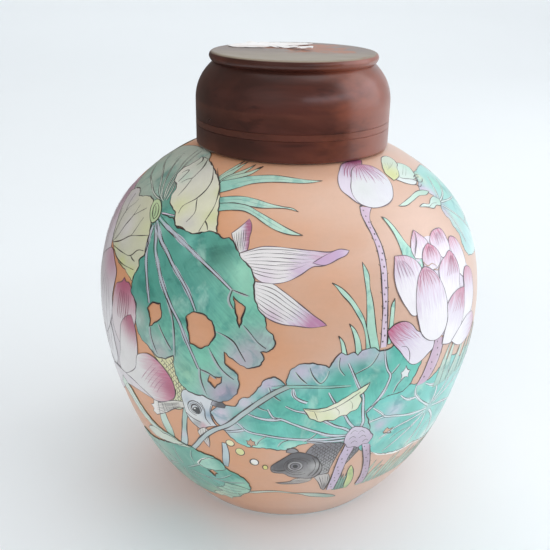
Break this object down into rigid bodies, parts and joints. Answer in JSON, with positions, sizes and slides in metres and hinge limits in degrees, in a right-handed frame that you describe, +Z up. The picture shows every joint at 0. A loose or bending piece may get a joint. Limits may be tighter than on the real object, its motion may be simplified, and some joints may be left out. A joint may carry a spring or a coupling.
{
  "type": "ginger jar",
  "caption": "Round ginger jar: a hollow globular porcelain body with a short neck, under a turned wooden lid that lifts off.",
  "frame": {"origin": "centre of the foot, on the surface that the jar stands on", "axes": "+Z up along the axis of turning; -Y towards the side with the goldfish and the large lotus leaf; +X to the right of that side"},
  "size_m": [0.201, 0.201, 0.2336],
  "materials": {
    "porcelain": "gloss enamels over white porcelain",
    "lid_wood": "waxed dark hardwood",
    "label_paper": "torn matt paper"
  },
  "bodies": {
    "jar": {"jar_body": "porcelain"},
    "lid": {"wooden_lid": "lid_wood", "paper_label": "label_paper"}
  },
  "joints": [
    {"name": "lid_lift", "type": "slide", "parent": "jar", "child": "lid", "axis": [0, 0, 1], "range_m": [0, 0.12]}
  ]
}
